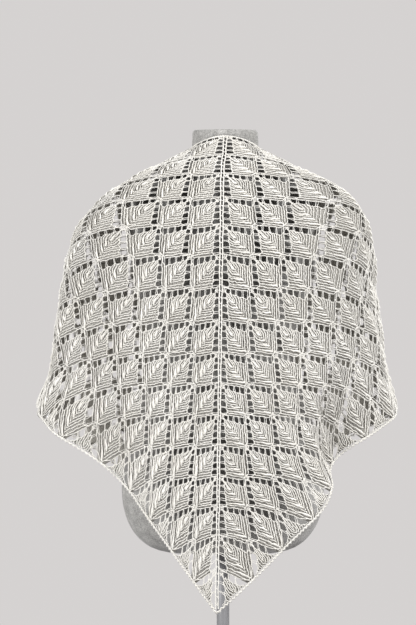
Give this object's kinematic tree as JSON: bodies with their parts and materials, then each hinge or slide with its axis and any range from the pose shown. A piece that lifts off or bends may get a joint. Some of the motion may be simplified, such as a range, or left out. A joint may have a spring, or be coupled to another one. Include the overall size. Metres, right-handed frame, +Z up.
{
  "type": "lace shawl on a dress form",
  "caption": "Triangular knitted lace shawl laid over the neck and shoulders of a plain limbless dress form on a pole stand; it hangs to a point at the back and falls open down the front.",
  "frame": {"origin": "centre of the stand base's underside, on the floor", "axes": "+Z up, -Y towards the back of the shawl, +X to the viewer's right when looking at the back"},
  "size_m": [0.6327, 0.34, 0.99],
  "materials": {
    "yarn": "natural off-white wool, plied and knitted, matt with a soft sheen",
    "felt": "heather grey felt, matt",
    "enamel": "satin grey enamel"
  },
  "bodies": {
    "root": {"wing_left": "yarn", "wing_right": "yarn", "centre_spine": "yarn", "neck_edge": "yarn", "lower_edge": "yarn", "dress_form": "felt", "stand_pole": "enamel", "stand_base": "enamel"}
  },
  "joints": []
}
